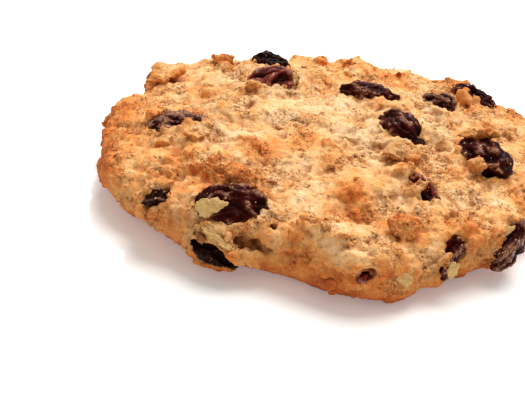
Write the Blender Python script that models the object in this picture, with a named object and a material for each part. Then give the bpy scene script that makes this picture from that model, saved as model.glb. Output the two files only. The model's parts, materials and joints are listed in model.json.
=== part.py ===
"""Oatmeal raisin cookie: a round of baked dough with raisins set in its top and its rim.

Run it with: blender --background --python part.py
Units are metres and +Z is up. The origin is the middle of the underside of the cookie's box.
"""

import math

import bmesh
import bpy
from mathutils import Matrix, Vector, noise
from mathutils.bvhtree import BVHTree

MM = 0.001

# Driving dimensions of the dough.
EDGE_RADIUS = 41.5 * MM
RIM_HEIGHT = 10.4 * MM
CENTRE_RISE = 4.4 * MM
RIM_ROUNDING = 5.2 * MM
UNDERCUT = 0.5 * MM
DOUGH_CUTS = 16

# Shares of the dough's faces that its top and its rim take. The flat underside has the rest.
TOP_SHARE = 0.60
RIM_SHARE = 0.28

# How the edge departs from a circle: angle in degrees, reach in mm, half width in degrees.
EDGE_LOBES = (
    (18, 2.2, 9),
    (41, 0.6, 8),
    (59, -3.0, 10),
    (97, -4.4, 22),
    (145, 1.1, 10),
    (166, -2.5, 7),
    (185, 1.2, 10),
    (210, 2.1, 14),
    (232, 3.2, 12),
    (256, -0.8, 8),
    (280, 4.9, 16),
    (299, -1.7, 6),
    (306, 0.8, 10),
    (345, 1.0, 14),
)

# Unevenness of the baked surface, from broad swells down to clumps of oats.
SWELL_SIZE = 24.0 * MM
SWELL_RISE = 1.1 * MM
CLUMP_SIZE = 8.5 * MM
CLUMP_RISE = 3.4 * MM
CRAG_SIZE = 4.8 * MM
CRAG_RISE = 1.7 * MM

# The foot of the rim is smooth up to this height, because it was pressed on the baking tray.
SMOOTH_FOOT = 2.2 * MM

# Raisins. Each fits its socket in the dough with this gap all round.
SOCKET_GAP = 0.32 * MM
RAISIN_SEGMENTS = 12
RAISIN_RINGS = 7
RAISIN_FOLDS = 3
FOLD_DEPTH = 0.12
DENT_DEPTH = 0.24
FLOOR_GAP = 0.05 * MM

# On the top: name, x and y of the middle, heading in degrees, length, width, thickness, and how
# far the middle of the raisin stands above the dough. Lengths are in mm.
TOP_RAISINS = (
    ("raisin_left", -27.1, -10.5, -4, 12.4, 7.0, 5.0, -0.7),
    ("raisin_front_left", -16.3, -34.5, -3, 12.0, 8.0, 6.0, -0.6),
    ("raisin_back_tall", -12.8, 19.0, 5, 8.5, 5.5, 5.5, -0.9),
    ("raisin_back_red", -11.2, 8.0, 14, 10.0, 8.2, 5.5, 0.2),
    ("raisin_back_middle", 7.2, 6.2, -4, 12.0, 5.0, 4.6, -0.3),
    ("raisin_back_round", 20.6, 7.8, -12, 7.6, 6.8, 5.2, -0.1),
    ("raisin_middle_big", 12.3, -7.8, -56, 10.8, 7.6, 6.2, 0.3),
    ("raisin_right_big", 27.0, -12.8, -58, 12.2, 8.4, 6.6, 0.0),
    ("raisin_back_right", 29.2, 17.6, -42, 10.6, 5.8, 5.0, -0.7),
    ("raisin_front_peek", 14.1, -25.1, -50, 10.5, 5.5, 5.0, -1.9),
    ("raisin_left_back", -33.2, 17.2, 42, 8.4, 5.4, 5.0, -1.4),
)

# On the rim: name, angle round the edge and height of the middle, slope of its long axis in
# degrees, length, width, thickness, and how far it stands out. Lengths are in mm.
RIM_RAISINS = (
    ("raisin_under_left", 244.7, 4.7, -16, 9.8, 4.0, 5.2, -1.4),
    ("raisin_front_low", 276.8, 6.5, 30, 4.4, 3.8, 4.4, -1.7),
    ("raisin_cleft", 296.3, 6.2, 58, 8.4, 4.8, 5.5, -1.5),
    ("raisin_right_low", 313.3, 6.0, 40, 9.6, 6.0, 5.2, -0.8),
    ("raisin_left_low", 229.5, 9.0, 30, 6.0, 3.2, 4.8, -1.8),
    ("raisin_right_side", 350, 4.8, -20, 10.5, 6.5, 5.0, -0.8),
    ("raisin_far_right", 14, 5.4, 30, 9.0, 6.0, 5.0, -0.9),
    ("raisin_back_side", 62, 5.2, 15, 11.0, 6.5, 5.0, -0.7),
    ("raisin_far_back", 98, 5.6, -8, 9.5, 5.6, 5.0, -0.8),
    ("raisin_back_left_side", 136, 4.4, -25, 10.0, 6.0, 5.0, -0.8),
)

DOUGH_COLOUR = (0.72, 0.47, 0.22, 1.0)
RAISIN_COLOUR = (0.055, 0.016, 0.018, 1.0)


def clear_scene():
    for obj in list(bpy.data.objects):
        bpy.data.objects.remove(obj)


def new_collection(name):
    collection = bpy.data.collections.new(name)
    bpy.context.scene.collection.children.link(collection)
    return collection


def make_material(name, colour, roughness):
    material = bpy.data.materials.new(name)
    material.use_nodes = True
    shader = material.node_tree.nodes["Principled BSDF"]
    shader.inputs["Base Color"].default_value = colour
    shader.inputs["Roughness"].default_value = roughness
    shader.inputs["Metallic"].default_value = 0.0
    return material


def new_object(name, bm, material, collection):
    """A smooth-shaded mesh object made from bm, which is freed."""
    mesh = bpy.data.meshes.new(name)
    bm.to_mesh(mesh)
    bm.free()
    mesh.materials.append(material)
    mesh.shade_smooth()
    obj = bpy.data.objects.new(name, mesh)
    collection.objects.link(obj)
    return obj


# ---------------------------------------------------------------- dough


def edge_radius(angle):
    """Distance from the middle to the edge of the cookie in that direction."""
    radius = EDGE_RADIUS
    for lobe_angle, reach, half_width in EDGE_LOBES:
        away = math.remainder(angle - math.radians(lobe_angle), 2 * math.pi)
        radius += reach * MM * math.exp(-((away / math.radians(half_width)) ** 2))
    return radius


def plain_dough_point(direction):
    """Where a point of a unit sphere goes on the smooth cookie: top, rim or underside."""
    angle = math.atan2(direction.y, direction.x)
    edge = edge_radius(angle)
    shoulder = edge - RIM_ROUNDING
    share = (1 - direction.z) / 2
    if share < TOP_SHARE:
        across = math.sqrt(share / TOP_SHARE)
        radius = shoulder * across
        height = RIM_HEIGHT + CENTRE_RISE * (1 - across**2)
    elif share < TOP_SHARE + RIM_SHARE:
        turn = math.pi * (share - TOP_SHARE) / RIM_SHARE
        radius = shoulder + RIM_ROUNDING * math.sin(turn)
        half_height = (RIM_HEIGHT + UNDERCUT) / 2
        height = max(0.0, half_height - UNDERCUT + half_height * math.cos(turn))
    else:
        across = math.sqrt((1 - share) / (1 - TOP_SHARE - RIM_SHARE))
        radius = shoulder * across
        height = 0.0
    return Vector((radius * math.cos(angle), radius * math.sin(angle), height))


def clump(point, size):
    """1 on top of a rounded clump, and down to 0 in the creases between clumps of that size."""
    nearest = noise.voronoi(point / size, distance_metric="DISTANCE")[0][0]
    return max(0.0, 1 - nearest**2)


def unevenness(point):
    """How far the baked surface stands proud of the smooth cookie at that point."""
    swell = noise.noise(point / SWELL_SIZE)
    clumps = clump(point, CLUMP_SIZE) - 0.6
    crags = clump(point, CRAG_SIZE) - 0.6
    return SWELL_RISE * swell + CLUMP_RISE * clumps + CRAG_RISE * crags


def make_dough_mesh():
    """The dough before its sockets are cut: an even ball moved onto the cookie, then roughened."""
    bm = bmesh.new()
    bmesh.ops.create_cube(bm, size=2.0)
    bmesh.ops.subdivide_edges(bm, edges=bm.edges[:], cuts=DOUGH_CUTS, use_grid_fill=True)
    for vertex in bm.verts:
        vertex.co = plain_dough_point(vertex.co.normalized())
    bm.normal_update()
    for vertex in bm.verts:
        roughness = min(1.0, vertex.co.z / SMOOTH_FOOT)
        vertex.co += vertex.normal * unevenness(vertex.co) * roughness
    bmesh.ops.triangulate(bm, faces=bm.faces[:])
    under = {vertex for vertex in bm.verts if vertex.co.z == 0}
    flat = [edge for edge in bm.edges if under.issuperset(edge.verts)]
    bmesh.ops.dissolve_limit(bm, angle_limit=0.001, verts=list(under), edges=flat)
    bm.normal_update()
    return bm


# ---------------------------------------------------------------- raisins


def raisin_point(direction, size, seed):
    """A point of the raisin's surface. Its long axis is X, and folds run along it."""
    around = math.atan2(direction.z, direction.y)
    taper = 1 - direction.x**2
    fold = math.cos(RAISIN_FOLDS * around + 2.2 * direction.x + 1.7 * seed)
    dent = noise.noise(direction * 1.3 + Vector((seed, 0, 0)))
    scale = 1 + FOLD_DEPTH * taper * fold + DENT_DEPTH * dent
    return Vector(
        (
            direction.x * size.x / 2 * (1 + 0.08 * dent),
            direction.y * size.y / 2 * scale,
            direction.z * size.z / 2 * scale,
        )
    )


def make_raisin_mesh(size, seed, placing, swollen):
    """A raisin in its place. Its socket's cutter is the same raisin, swollen by the gap."""
    bm = bmesh.new()
    bmesh.ops.create_uvsphere(
        bm,
        u_segments=RAISIN_SEGMENTS,
        v_segments=RAISIN_RINGS,
        radius=1.0,
        matrix=Matrix.Rotation(math.pi / 2, 4, "Y"),
    )
    for vertex in bm.verts:
        vertex.co = placing @ raisin_point(vertex.co.normalized(), size, seed)
    bm.normal_update()
    if swollen:
        moves = [vertex.normal * SOCKET_GAP for vertex in bm.verts]
        for vertex, move in zip(bm.verts, moves):
            vertex.co += move
    else:
        for vertex in bm.verts:
            vertex.co.z = max(FLOOR_GAP, vertex.co.z)
    bm.normal_update()
    return bm


def placing_on(point, normal, along):
    """The matrix that lays a raisin at point, flat on normal, with its length near along."""
    side = normal.cross(along).normalized()
    length = side.cross(normal).normalized()
    turn = Matrix((length, side, normal)).transposed()
    return Matrix.Translation(point) @ turn.to_4x4()


def top_placing(tree, x, y, heading, proud):
    above = Vector((x * MM, y * MM, 1.0))
    point, normal = tree.ray_cast(above, Vector((0, 0, -1)))[:2]
    normal = (normal + Vector((0, 0, 1))).normalized()
    turn = math.radians(heading)
    along = Vector((math.cos(turn), math.sin(turn), 0))
    return placing_on(point + normal * proud * MM, normal, along)


def rim_placing(tree, angle, height, slope, proud):
    turn = math.radians(angle)
    outward = Vector((math.cos(turn), math.sin(turn), 0))
    start = outward + Vector((0, 0, height * MM))
    point = tree.ray_cast(start, -outward)[0]
    tangent = Vector((-outward.y, outward.x, 0))
    rise = math.radians(slope)
    along = tangent * math.cos(rise) + Vector((0, 0, 1)) * math.sin(rise)
    return placing_on(point + outward * proud * MM, outward, along)


def raisin_layout(tree):
    """(name, size, placing) of every raisin, each laid on the dough's surface."""
    for name, x, y, heading, length, width, thickness, proud in TOP_RAISINS:
        size = Vector((length, width, thickness)) * MM
        yield name, size, top_placing(tree, x, y, heading, proud)
    for name, angle, height, slope, length, width, thickness, proud in RIM_RAISINS:
        size = Vector((length, width, thickness)) * MM
        yield name, size, rim_placing(tree, angle, height, slope, proud)


def cut_socket(dough, cutter):
    cutter.hide_render = True
    cutter.display_type = "WIRE"
    cut = dough.modifiers.new(cutter.name, "BOOLEAN")
    cut.operation = "DIFFERENCE"
    cut.solver = "EXACT"
    cut.object = cutter


# ---------------------------------------------------------------- cookie


def centre_on_origin(root, parts):
    """Moves the root empty so that the box round all parts is centred on the origin."""
    corners = [vertex.co for part in parts for vertex in part.data.vertices]
    low_x, high_x = min(c.x for c in corners), max(c.x for c in corners)
    low_y, high_y = min(c.y for c in corners), max(c.y for c in corners)
    root.location = (-(low_x + high_x) / 2, -(low_y + high_y) / 2, 0)


def build_cookie():
    clear_scene()
    parts = new_collection("oatmeal_raisin_cookie")
    cutters = new_collection("socket_cutters")
    dough_material = make_material("dough", DOUGH_COLOUR, 0.85)
    raisin_material = make_material("raisin", RAISIN_COLOUR, 0.4)
    root = bpy.data.objects.new("cookie_centre", None)
    parts.objects.link(root)

    dough_bm = make_dough_mesh()
    tree = BVHTree.FromBMesh(dough_bm)
    dough = new_object("dough", dough_bm, dough_material, parts)

    made = [dough]
    for seed, (name, size, placing) in enumerate(raisin_layout(tree)):
        raisin_bm = make_raisin_mesh(size, seed, placing, swollen=False)
        made.append(new_object(name, raisin_bm, raisin_material, parts))
        cutter_bm = make_raisin_mesh(size, seed, placing, swollen=True)
        cutter = new_object(name + "_socket", cutter_bm, raisin_material, cutters)
        cut_socket(dough, cutter)
        cutter.parent = root

    centre_on_origin(root, made)
    for part in made:
        part.parent = root


build_cookie()
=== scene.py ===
"""Looks of an oatmeal raisin cookie: craggy baked dough, wrinkled raisins, oat flakes and crumbs."""

import json
import math
import random

import bmesh
import bpy
import numpy as np
from mathutils import Matrix, Vector, noise
from mathutils.bvhtree import BVHTree
from mathutils.kdtree import KDTree

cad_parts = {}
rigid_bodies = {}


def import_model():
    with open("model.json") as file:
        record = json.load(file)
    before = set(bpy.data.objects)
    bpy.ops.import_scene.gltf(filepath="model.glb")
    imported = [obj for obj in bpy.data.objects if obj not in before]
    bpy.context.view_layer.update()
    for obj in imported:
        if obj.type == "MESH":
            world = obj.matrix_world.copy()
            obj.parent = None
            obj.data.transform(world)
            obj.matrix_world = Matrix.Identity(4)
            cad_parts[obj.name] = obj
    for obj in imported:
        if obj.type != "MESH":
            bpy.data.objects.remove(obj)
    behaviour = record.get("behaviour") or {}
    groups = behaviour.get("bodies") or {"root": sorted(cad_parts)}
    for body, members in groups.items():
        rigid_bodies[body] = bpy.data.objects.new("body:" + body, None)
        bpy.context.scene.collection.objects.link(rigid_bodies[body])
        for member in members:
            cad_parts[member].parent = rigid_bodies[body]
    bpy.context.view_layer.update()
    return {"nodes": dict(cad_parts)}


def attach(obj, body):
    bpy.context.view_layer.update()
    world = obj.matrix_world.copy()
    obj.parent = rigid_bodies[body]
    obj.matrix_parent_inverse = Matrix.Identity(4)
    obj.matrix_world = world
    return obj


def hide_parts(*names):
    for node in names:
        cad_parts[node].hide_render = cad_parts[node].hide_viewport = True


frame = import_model()

MM = 0.001
BODY = "root"

# ---------------- sizes

# Dough: grids it is rebuilt on, and the triangles that it may have.
CORE_VOXEL = 0.7 * MM
CRUMB_VOXEL = 0.28 * MM
DOUGH_TRIANGLES = 194_000

# The core is drawn in by this much, because what is kneaded in builds it up again, and raised
# into a lip round each raisin.
DRAW_IN = 0.75 * MM
LIP_RISE = 0.8 * MM
LIP_REACH = 1.1 * MM
LIP_END = 3.0 * MM

# What is kneaded into the surface, and what stands on it as pieces of its own. Density is pieces per
# square metre, smallest and largest are half lengths, sink is how deep a piece lies as a share of
# its size, tilt is in radians, and patchy is how far it keeps to the crumbly patches. None starts
# lower than foot. Nearer than clearance to a raisin pieces shrink, at most to the share least, and
# none lies past reach from one. Lengths are in mm.
STREW_INPUTS = (
    "Density", "Smallest", "Largest", "Sink", "Tilt", "Patchy", "Foot", "Clearance", "Least", "Reach",
)
STREW_LENGTHS = ("Smallest", "Largest", "Foot", "Clearance", "Reach")
ANYWHERE = 1000.0
FLAKES_IN = (15e3, 1.5, 2.7, 0.10, 0.3, 0.0, 1.6, 3.2, 0.3, ANYWHERE)
LUMPS_IN = (24e3, 1.4, 3.3, 0.60, 0.6, 0.0, 1.2, 2.4, 0.4, ANYWHERE)
CRUMBS_IN = (240e3, 0.3, 0.8, 0.3, 1.5, 0.9, 0.6, 0.5, 0.9, ANYWHERE)
COLLAR_IN = (1000e3, 0.4, 1.0, 0.1, 1.5, 0.0, 1.0, 0.5, 1.0, 0.8)
CLUMPS_ON = (80e3, 0.35, 1.0, 0.42, 1.2, 0.9, 3.0, 1.2, 0.6, ANYWHERE)
BITS_ON = (900e3, 0.16, 0.45, 0.25, 1.5, 0.85, 2.4, 0.8, 0.8, ANYWHERE)
FLAKES_ON = (1e3, 0.8, 1.5, 0.0, 0.2, 0.0, 3.0, 2.5, 0.35, ANYWHERE)
CRUMBS_ON = (1300e3, 0.08, 0.24, 0.1, 1.5, 0.9, 2.0, 0.8, 0.8, ANYWHERE)
DUST_ON = (120e3, 0.08, 0.26, 0.2, 1.5, 0.7, 4.0, 0.8, 1.0, ANYWHERE)

# Size of the patches where the dough is crumbly or smooth.
PATCH_SIZE = 5.0 * MM

# Relief of the baked dough: steps where one scrap of dough laps over the next, each kind with its
# size, rise and softness, and small swellings between them. Both wander off straight lines, by
# these sizes and reaches. The relief fades out at the flat foot.
LAPS = (
    ("Scrap", 4.6 * MM, 0.9 * MM, 0.35),
    ("Crumb", 1.6 * MM, 0.54 * MM, 0.25),
    ("Grain", 0.8 * MM, 0.42 * MM, 0.15),
)
SWELL_SIZE = 1.2 * MM
SWELL_RISE = 0.42 * MM
WANDER = ((3.0 * MM, 2.0 * MM), (0.9 * MM, 0.45 * MM))
FLAT_FOOT = 2.5 * MM

# The foot of the edge lies in under the rest by depth, up to the height top: most at angle, less
# past spread to its sides, in degrees, and by the share least all round. The edge starts this far
# from the middle.
UNDERCUT = dict(angle=228, spread=36, depth=3.2 * MM, top=6.5 * MM, least=0.25)
EDGE_AWAY = 36 * MM

# What is toasted stands proud, and what stayed pale lies low.
TOAST_RISE = 0.35 * MM
PALE_SINK = 0.5 * MM

# How far a crumb and a lump stand out where the finish counts them as one.
CRUMB_RISE = 0.16 * MM
LUMP_RISE = 0.55 * MM

# Colours, linear. Baking takes the dough through these, from the least browned to the most.
BROWNING = (
    (0.0, (0.88, 0.64, 0.38, 1.0)),
    (0.3, (0.86, 0.525, 0.235, 1.0)),
    (0.55, (0.82, 0.38, 0.115, 1.0)),
    (0.8, (0.76, 0.245, 0.048, 1.0)),
    (1.0, (0.54, 0.13, 0.024, 1.0)),
)
BROWNING_SHIFT = 1.03
# Near black for dark flecks of the dough, and for painted shade in pores and the deepest creases. The
# gap, crevice and wall tints below are painted shade.
DARK_FLECK_AND_SHADE = (0.12, 0.028, 0.010, 1.0)
GAP_SHADE = (0.34, 0.125, 0.038, 1.0)
CREVICE_SHADE_TINT = (0.64, 0.42, 0.26, 1.0)
WALL_SHADE_TINT = (0.74, 0.58, 0.42, 1.0)
OAT_PALE = (0.72, 0.47, 0.16, 1.0)
OAT_BROWN = (0.38, 0.17, 0.045, 1.0)

# Size of the fine grain on dough, oat and raisin skin, and how deep it goes.
DOUGH_GRAIN, DOUGH_GRAIN_DEPTH = 0.42 * MM, 0.44 * MM
OAT_GRAIN, OAT_GRAIN_DEPTH = 0.40 * MM, 0.30 * MM
SKIN_GRAIN, SKIN_GRAIN_DEPTH = 0.60 * MM, 0.24 * MM
PORE_SIZE = 1.2 * MM


# ---------------- plain helpers


def link_object(name, mesh):
    obj = bpy.data.objects.new(name, mesh)
    bpy.context.scene.collection.objects.link(obj)
    return obj


def node_mesh(name):
    """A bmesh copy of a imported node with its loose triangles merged."""
    bm = bmesh.new()
    bm.from_mesh(frame["nodes"][name].data)
    bmesh.ops.remove_doubles(bm, verts=bm.verts[:], dist=1e-6)
    bm.normal_update()
    return bm


def mesh_from(bm, name):
    mesh = bpy.data.meshes.new(name)
    bm.to_mesh(mesh)
    bm.free()
    return mesh


def evaluated_mesh(obj):
    """The mesh of obj with its modifiers applied. The modifiers are removed."""
    bpy.context.view_layer.update()
    deps = bpy.context.evaluated_depsgraph_get()
    mesh = bpy.data.meshes.new_from_object(obj.evaluated_get(deps), depsgraph=deps)
    obj.modifiers.clear()
    return mesh


def points_of(mesh):
    co = np.empty(len(mesh.vertices) * 3, np.float32)
    mesh.vertices.foreach_get("co", co)
    return co.reshape(-1, 3).astype(np.float64)


def set_points(mesh, co):
    mesh.vertices.foreach_set("co", co.astype(np.float32).ravel())
    mesh.update()


def normals_of(mesh):
    normal = np.empty(len(mesh.vertices) * 3, np.float32)
    mesh.vertex_normals.foreach_get("vector", normal)
    return normal.reshape(-1, 3).astype(np.float64)


def set_attribute(mesh, name, values):
    attribute = mesh.attributes.new(name, "FLOAT", "POINT")
    attribute.data.foreach_set("value", values.astype(np.float32))


def values_of(mesh, name):
    values = np.empty(len(mesh.vertices), np.float32)
    mesh.attributes[name].data.foreach_get("value", values)
    return values


def join_meshes(name, meshes):
    """One mesh holding all of them, which are removed."""
    bm = bmesh.new()
    for mesh in meshes:
        bm.from_mesh(mesh)
        bpy.data.meshes.remove(mesh)
    return mesh_from(bm, name)


def smoothstep(low, high, value):
    t = np.clip((value - low) / (high - low), 0, 1)
    return t * t * (3 - 2 * t)


# ---------------- node trees


class Tree:
    """Short calls that add and join the nodes of a tree."""

    def __init__(self, tree):
        self.tree = tree

    def add(self, kind, inputs=None, **settings):
        node = self.tree.nodes.new(kind)
        for name, value in settings.items():
            setattr(node, name, value)
        for name, value in (inputs or {}).items():
            self.feed(self.inlet(node, name), value)
        return node

    def inlet(self, node, name):
        if isinstance(name, int):
            return node.inputs[name]
        return next(s for s in node.inputs if s.name == name and s.enabled)

    def outlet(self, node, name=None):
        shown = [s for s in node.outputs if s.enabled]
        return shown[0] if name is None else next(s for s in shown if s.name == name)

    def feed(self, inlet, value):
        if isinstance(value, bpy.types.Node):
            value = self.outlet(value)
        if isinstance(value, bpy.types.NodeSocket):
            self.tree.links.new(value, inlet)
        else:
            inlet.default_value = value

    def math(self, operation, *values, clamp=False):
        node = self.add("ShaderNodeMath", operation=operation, use_clamp=clamp)
        for inlet, value in zip(node.inputs, values):
            self.feed(inlet, value)
        return node.outputs[0]

    def times(self, a, b):
        return self.math("MULTIPLY", a, b)

    def ramp(self, value, low, high, out_low=0.0, out_high=1.0):
        """value taken smoothly from low..high to out_low..out_high."""
        node = self.add("ShaderNodeMapRange", interpolation_type="SMOOTHSTEP")
        for inlet, given in zip(node.inputs, (value, low, high, out_low, out_high)):
            self.feed(inlet, given)
        return node.outputs[0]

    def mix(self, factor, a, b, blend="MIX"):
        node = self.add("ShaderNodeMix", data_type="RGBA", blend_type=blend)
        self.feed(node.inputs[0], factor)
        self.feed(node.inputs[6], a)
        self.feed(node.inputs[7], b)
        return node.outputs[2]

    def shades(self, value, stops):
        """A colour from these (place, colour) stops."""
        node = self.add("ShaderNodeValToRGB", {0: value})
        elements = node.color_ramp.elements
        while len(elements) < len(stops):
            elements.new(1.0)
        for element, (place, colour) in zip(elements, stops):
            element.position, element.color = place, colour
        return node.outputs[0]

    def noise(self, vector, size, detail=2.0, roughness=0.5, distortion=0.0):
        inputs = {"Vector": vector, "Scale": 1 / size, "Detail": detail, "Roughness": roughness}
        return self.add("ShaderNodeTexNoise", {**inputs, "Distortion": distortion}).outputs[0]

    def waves(self, vector, size, reach):
        """A shift that wanders with vector, in waves of this size."""
        wander = self.add("ShaderNodeTexNoise", {"Vector": vector, "Scale": 1 / size, "Detail": 2.0})
        return self.scaled(wander.outputs[1], reach)

    def scaled(self, vector, factor):
        node = self.add("ShaderNodeVectorMath", {0: vector}, operation="SCALE")
        self.feed(node.inputs["Scale"], factor)
        return node.outputs[0]

    def marked(self, geometry, name, value, domain="POINT"):
        """The geometry with value kept as an attribute of this name."""
        inputs = {"Geometry": geometry, "Name": name, "Value": value}
        return self.add("GeometryNodeStoreNamedAttribute", inputs, data_type="FLOAT", domain=domain)

    def moved(self, vector, shift):
        return self.add("ShaderNodeVectorMath", {0: vector, 1: shift}, operation="ADD").outputs[0]


def new_group(name, kind, inputs, outputs):
    """An empty node group with named sockets: (Tree, its input node, its output node)."""
    group = bpy.data.node_groups.new(name, kind)
    for label, socket_type, default in inputs:
        socket = group.interface.new_socket(label, in_out="INPUT", socket_type=socket_type)
        if default is not None:
            socket.default_value = default
    for label, socket_type in outputs:
        group.interface.new_socket(label, in_out="OUTPUT", socket_type=socket_type)
    tree = Tree(group)
    return tree, tree.add("NodeGroupInput"), tree.add("NodeGroupOutput")


def apply_tree(obj, group, **values):
    """The mesh that a Geometry Nodes tree makes of obj, with these inputs."""
    modifier = obj.modifiers.new(group.name, "NODES")
    modifier.node_group = group
    for item in group.interface.items_tree:
        if item.item_type == "SOCKET" and item.in_out == "INPUT" and item.name in values:
            modifier[item.identifier] = values[item.name]
    return evaluated_mesh(obj)


def crumbly_patches(tree, position):
    """1 where the surface is crumbly and 0 where it is smooth. The finish uses the same pattern."""
    return tree.ramp(tree.noise(position, PATCH_SIZE, 2.0), 0.47, 0.60)


def finished_group(tree, geometry, finish, result):
    """The group, ended with geometry as a real mesh in this finish."""
    real = tree.add("GeometryNodeRealizeInstances", {"Geometry": geometry})
    dressed = tree.add("GeometryNodeSetMaterial", {"Geometry": real, "Material": finish})
    tree.feed(result.inputs[0], dressed)
    return tree.tree


def scatter_group():
    """Geometry Nodes: strews the shapes of a collection over a surface, sunk and tilted."""
    tree, given, result = new_group(
        "strew",
        "GeometryNodeTree",
        (
            ("Surface", "NodeSocketGeometry", None),
            ("Shapes", "NodeSocketCollection", None),
            ("Raisins", "NodeSocketObject", None),
            ("Finish", "NodeSocketMaterial", None),
            *((label, "NodeSocketFloat", 0.0) for label in STREW_INPUTS),
            ("Seed", "NodeSocketInt", 0),
        ),
        (("Strewn", "NodeSocketGeometry"),),
    )
    g = given.outputs
    position = tree.add("GeometryNodeInputPosition").outputs[0]
    height = tree.add("ShaderNodeSeparateXYZ", {0: position}).outputs["Z"]
    above_foot = tree.add("FunctionNodeCompare", {"A": height, "B": g["Foot"]}, data_type="FLOAT")
    bare = tree.math("SUBTRACT", 1.0, crumbly_patches(tree, position))
    share = tree.math("SUBTRACT", 1.0, tree.times(bare, g["Patchy"]))
    raisins = tree.add("GeometryNodeObjectInfo", {"Object": g["Raisins"]})
    raisins = tree.outlet(raisins, "Geometry")
    near = tree.add("GeometryNodeProximity", {0: raisins}, target_element="FACES")
    away = tree.outlet(near, "Distance")
    share = tree.times(share, tree.math("LESS_THAN", away, g["Reach"]))
    density = tree.times(g["Density"], share)
    spread = tree.add(
        "GeometryNodeDistributePointsOnFaces",
        {"Mesh": g["Surface"], "Selection": above_foot, "Density": density, "Seed": g["Seed"]},
    )
    normal = tree.outlet(spread, "Normal")
    size = tree.add(
        "FunctionNodeRandomValue",
        {"Min": g["Smallest"], "Max": g["Largest"], "Seed": g["Seed"]},
        data_type="FLOAT",
    )
    room = tree.math("DIVIDE", away, g["Clearance"])
    room = tree.math("MINIMUM", tree.math("MAXIMUM", room, g["Least"]), 1.0)
    size = tree.times(size.outputs[1], room)
    depth = tree.times(tree.times(size, g["Sink"]), -1.0)
    sunk = {"Geometry": tree.outlet(spread, "Points"), "Offset": tree.scaled(normal, depth)}
    placed = tree.add("GeometryNodeSetPosition", sunk)
    lean_less = tree.times(g["Tilt"], -1.0)
    low = tree.add("ShaderNodeCombineXYZ", {0: lean_less, 1: lean_less, 2: -math.pi})
    high = tree.add("ShaderNodeCombineXYZ", {0: g["Tilt"], 1: g["Tilt"], 2: math.pi})
    lean = tree.add(
        "FunctionNodeRandomValue",
        {"Min": low, "Max": high, "Seed": tree.math("ADD", g["Seed"], 7)},
        data_type="FLOAT_VECTOR",
    )
    lean = tree.add("FunctionNodeEulerToRotation", {0: lean.outputs[0]})
    upright = tree.add("FunctionNodeAlignRotationToVector", {"Vector": normal}, axis="Z")
    turned = tree.add(
        "FunctionNodeRotateRotation",
        {"Rotation": upright, "Rotate By": lean},
        rotation_space="LOCAL",
    )
    shapes = tree.add(
        "GeometryNodeCollectionInfo",
        {"Collection": g["Shapes"], "Separate Children": True, "Reset Children": True},
    )
    inputs = {"Points": placed, "Instance": shapes, "Pick Instance": True, "Rotation": turned}
    placed = tree.add("GeometryNodeInstanceOnPoints", {**inputs, "Scale": size})
    other_seed = tree.math("ADD", g["Seed"], 31)
    shade = tree.add("FunctionNodeRandomValue", {"Seed": other_seed}, data_type="FLOAT")
    marked = tree.marked(placed, "shade", shade.outputs[1], "INSTANCE")
    return finished_group(tree, marked, g["Finish"], result)


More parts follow.
